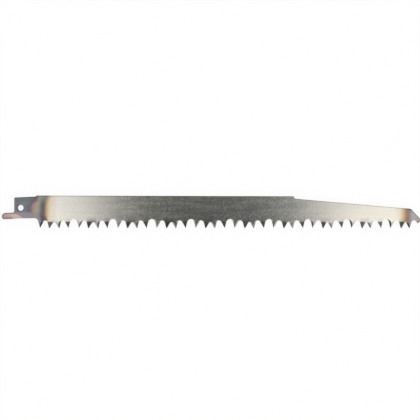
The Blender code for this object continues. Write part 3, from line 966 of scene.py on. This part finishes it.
profile_place = place_of(grind, calc(grind, 'SUBTRACT', profile_x, start_x), profile_y,
                         product(grind, given["Reach"], -1.0))
wheel = add(grind, "GeometryNodeSetPosition", {"Geometry": wheel.outputs[0], "Position": profile_place})
through = place_of(grind, x=product(grind, start_x, 2.0), z=product(grind, given["Reach"], 2.0))
extruded = add(grind, "GeometryNodeExtrudeMesh", {
    "Mesh": wheel.outputs[0], "Offset": through, "Offset Scale": 1.0, "Individual": False})
underside = add(grind, "GeometryNodeFlipFaces", {"Mesh": wheel.outputs[0]})
both = add(grind, "GeometryNodeJoinGeometry")
feed(grind, both.inputs[0], extruded.outputs[0])
feed(grind, both.inputs[0], underside.outputs[0])
closed = add(grind, "GeometryNodeMergeByDistance", {
    "Geometry": both.outputs[0], "Distance": MERGE_DISTANCE})
first_place, to_next = place_of(grind, given["Centre"]), place_of(grind, given["Pitch"])
places = add(grind, "GeometryNodeMeshLine", {
    "Count": given["Rows"], "Start Location": first_place, "Offset": to_next})
row = add(grind, "GeometryNodeInstanceOnPoints", {
    "Points": places.outputs[0], "Instance": closed.outputs[0]})
feed(grind, gives[0], add(grind, "GeometryNodeRealizeInstances", {0: row.outputs[0]}).outputs[0])
print("gullet row nodes:", len(grind.nodes))

# %% [markdown]
# ## Grind and set
#
# The main tree takes the strip and does what the workshop does. It cuts the pin hole. It grinds the rows,
# two that slant one way and two that slant the other, so that every tooth is bevelled on both flanks and
# comes to a point at one face. Then it bends the teeth: each point of the toothed edge moves to the side by
# a share that grows with its distance below the bend line, and the side changes over at the crown of every
# gullet. The faces carry marks, "sheared" from the punch and "ground" from the wheel, and the marks pick
# their finish at the end. Last, a clean-up in mesh code merges points that lie closer than the eye can see.

# %% Sizes of the teeth
FLANKS = {"Steep": 14 * DEGREE, "Sloped": 29 * DEGREE}
MIDDLE_SHIFT = 0.21 * MM
GULLETS = [
    # name, spacing, shift to the side, depth, crown radius, left flank, right flank
    ("Deep", 5.93 * MM, 0.0, 5.2 * MM, 2.5 * MM, "Steep", "Steep"),
    ("After Left", 5.73 * MM, -MIDDLE_SHIFT, 4.4 * MM, 2.0 * MM, "Sloped", "Steep"),
    ("Shallow", 4.97 * MM, 0.0, 3.4 * MM, 1.5 * MM, "Sloped", "Sloped"),
    ("Before Left", 5.68 * MM, MIDDLE_SHIFT, 4.4 * MM, 2.0 * MM, "Steep", "Sloped"),
]
SET_WIDTH = 0.4 * MM
GULLET_FOOT = -2.0 * MM
ROWS = 10
FIRST_TIP = -GULLETS[0][1]
PITCH = sum(gullet[1] for gullet in GULLETS)


def flank_reach(flank, depth, radius):
    """How far a flank is from the crown's centre at the level of the tips."""
    angle = FLANKS[flank]
    return radius * math.cos(angle) + (depth - radius + radius * math.sin(angle)) * math.tan(angle)


centres = []
tip = FIRST_TIP
for name, spacing, shift, depth, radius, left, right in GULLETS:
    off_middle = (flank_reach(left, depth, radius) - flank_reach(right, depth, radius)) / 2
    centres.append(tip + spacing / 2 + off_middle + shift)
    tip += spacing
print("crowns of the first four gullets, in mm:", [round(c / MM, 2) for c in centres])

# %% The tree's inputs and helpers
FINISHES = {"Face Finish": polished, "Wall Finish": sheared, "Ground Finish": ground}
sizes = [("First Tip", FIRST_TIP), ("Pitch", PITCH), ("Grind Slant", GRIND_SLANT), ("Set Width", SET_WIDTH),
         ("Bend Height", BEND_HEIGHT), ("Bend Rounding", BEND_ROUNDING), ("Reach", THICKNESS / 2 + PAST_FACE),
         ("Foot", GULLET_FOOT)]
for (name, spacing, shift, depth, radius, left, right), centre in zip(GULLETS, centres):
    own = (centre, depth, radius, FLANKS[left], FLANKS[right])
    sizes += [(name + " " + size, value) for size, value in zip(KIND_SIZES, own)]
work, given, gives = new_group(
    "grind_and_set", "GeometryNodeTree",
    [("Strip", "Geometry"), ("Pin Punch", "Object"), ("Rows", "Int")]
    + [(name, "Float") for name, value in sizes] + [(name, "Material") for name in FINISHES],
    [("Blade", "Geometry")],
)


def marked(geometry, name, value):
    """The geometry with a number stored on every face."""
    inputs = {"Geometry": geometry, "Name": name, "Value": value}
    return add(work, "GeometryNodeStoreNamedAttribute", inputs, data_type='FLOAT', domain='FACE').outputs[0]


def cut_out(geometry, cutter):
    """The geometry with the cutter's space taken out of it."""
    inputs = {0: geometry, 1: cutter}
    node = add(work, "GeometryNodeMeshBoolean", inputs, operation='DIFFERENCE', solver='EXACT')
    return node.outputs["Mesh"]


# %% Cut the pin hole and grind the rows
punch_info = add(work, "GeometryNodeObjectInfo", {"Object": given["Pin Punch"]})
blade = cut_out(given["Strip"], punch_info.outputs["Geometry"])
for way, turns in ((1.0, (0, 2)), (-1.0, (1, 3))):
    rows = add(work, "GeometryNodeJoinGeometry")
    for turn in turns:
        name = GULLETS[turn][0]
        inputs = {size: given[name + " " + size] for size in KIND_SIZES}
        inputs |= {size: given[size] for size in (*SHARED_SIZES, "Rows")}
        inputs["Slant"] = product(work, given["Grind Slant"], way)
        feed(work, rows.inputs[0], add(work, "GeometryNodeGroup", inputs, node_tree=grind).outputs[0])
    blade = cut_out(blade, marked(rows.outputs[0], "ground", way))
print("nodes that cut:", len(work.nodes))

# %% Bend the teeth
place = parts_of(work, add(work, "GeometryNodeInputPosition").outputs[0])
row_end = calc(work, 'MULTIPLY_ADD', given["Rows"], given["Pitch"], given["First Tip"])
within = calc(work, 'SUBTRACT', calc(work, 'MINIMUM', place["X"], row_end), given["First Tip"])
within = calc(work, 'ADD', calc(work, 'FLOORED_MODULO', within, given["Pitch"]), given["First Tip"])
bent_to = 1.0
for gullet in GULLETS:
    centre, radius = given[gullet[0] + " Centre"], given[gullet[0] + " Radius"]
    start, end = calc(work, 'SUBTRACT', centre, radius), calc(work, 'ADD', centre, radius)
    bent_to = product(work, bent_to, eased(work, within, start, end, 1.0, -1.0))
below = calc(work, 'MAXIMUM', calc(work, 'SUBTRACT', given["Bend Height"], place["Y"]), 0.0)
curved = calc(work, 'MINIMUM', below, given["Bend Rounding"])
half_rounding = calc(work, 'DIVIDE', given["Bend Rounding"], 2.0)
moved = calc(work, 'DIVIDE', product(work, curved, curved), product(work, half_rounding, 4.0))
moved = calc(work, 'ADD', moved, calc(work, 'SUBTRACT', below, curved))
full = calc(work, 'SUBTRACT', given["Bend Height"], half_rounding)
share = product(work, calc(work, 'DIVIDE', moved, full), bent_to)
sideways = place_of(work, z=product(work, share, given["Set Width"]))
blade = add(work, "GeometryNodeSetPosition", {"Geometry": blade, "Offset": sideways}).outputs[0]
print("nodes that cut and bend:", len(work.nodes))


# %% Pick the finishes by the marks
def mark(name):
    """Where a stored mark is set."""
    stored = add(work, "GeometryNodeInputNamedAttribute", {"Name": name}, data_type='FLOAT')
    return calc(work, 'GREATER_THAN', calc(work, 'ABSOLUTE', stored.outputs["Attribute"]), 0.5)


blade = add(work, "GeometryNodeRealizeInstances", {0: blade}).outputs[0]
for place, finish in zip((True, mark("sheared"), mark("ground")), FINISHES):
    inputs = {"Geometry": blade, "Selection": place, "Material": given[finish]}
    blade = add(work, "GeometryNodeSetMaterial", inputs).outputs[0]
feed(work, gives[0], blade)
print("grind and set nodes:", len(work.nodes))

# %% Run the tree and keep its result as a plain mesh
SHARP_ANGLE = 28 * DEGREE

tool = strip.modifiers.new("grind_and_set", 'NODES')
tool.node_group = work
values = dict(sizes) | {"Pin Punch": punch, "Rows": ROWS} | FINISHES
for socket in work.interface.items_tree:
    if socket.in_out == 'INPUT' and socket.name in values:
        tool[socket.identifier] = values[socket.name]
evaluated = strip.evaluated_get(bpy.context.evaluated_depsgraph_get())
blade_mesh = bpy.data.meshes.new_from_object(evaluated)
strip.modifiers.clear()
bpy.data.objects.remove(punch, do_unlink=True)
bpy.data.objects.remove(strip, do_unlink=True)
blade_mesh.name = "saw_blade_fine"
cleaned = bmesh.new()
cleaned.from_mesh(blade_mesh)
bmesh.ops.remove_doubles(cleaned, verts=cleaned.verts, dist=2 * MERGE_DISTANCE)
bmesh.ops.dissolve_degenerate(cleaned, edges=cleaned.edges, dist=2 * MERGE_DISTANCE)
print("edges left open:", len([edge for edge in cleaned.edges if not edge.is_manifold]))
print("smallest face, in square mm:", min(face.calc_area() for face in cleaned.faces) / MM ** 2)
cleaned.to_mesh(blade_mesh)
cleaned.free()
print("finishes on the blade:", [finish and finish.name for finish in blade_mesh.materials])
low = Vector([min(v.co[axis] for v in blade_mesh.vertices) for axis in range(3)])
high = Vector([max(v.co[axis] for v in blade_mesh.vertices) for axis in range(3)])
print("ground and set:", len(blade_mesh.polygons), "faces, middle at, in mm:", (low + high) / 2 / MM)

# %% [markdown]
# ## Seat it on the frame
#
# The tree works with X from the first tooth and Z from the middle of the steel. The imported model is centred
# and lies on the ground, so the mesh moves there: its place goes into its points and the object stays at
# the origin. Faces that meet at less than 28 degrees shade as one smooth surface, and the flat faces keep
# their flat look with weighted normals.

# %% Move the mesh, shade it, and let it replace the CAD node
cad_low, cad_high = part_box("saw_blade")
shift = (cad_low + cad_high) / 2 - (low + high) / 2
blade_mesh.transform(Matrix.Translation(shift))
blade_mesh.shade_smooth()
blade_mesh.set_sharp_from_angle(angle=SHARP_ANGLE)
blade_piece = bpy.data.objects.new("saw_blade_fine", blade_mesh)
bpy.context.scene.collection.objects.link(blade_piece)
flat_faces = blade_piece.modifiers.new("flat_faces", 'WEIGHTED_NORMAL')
flat_faces.keep_sharp = True
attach(blade_piece, "root")
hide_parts("saw_blade")
print("blade moved by, in mm:", [round(c / MM, 3) for c in shift])
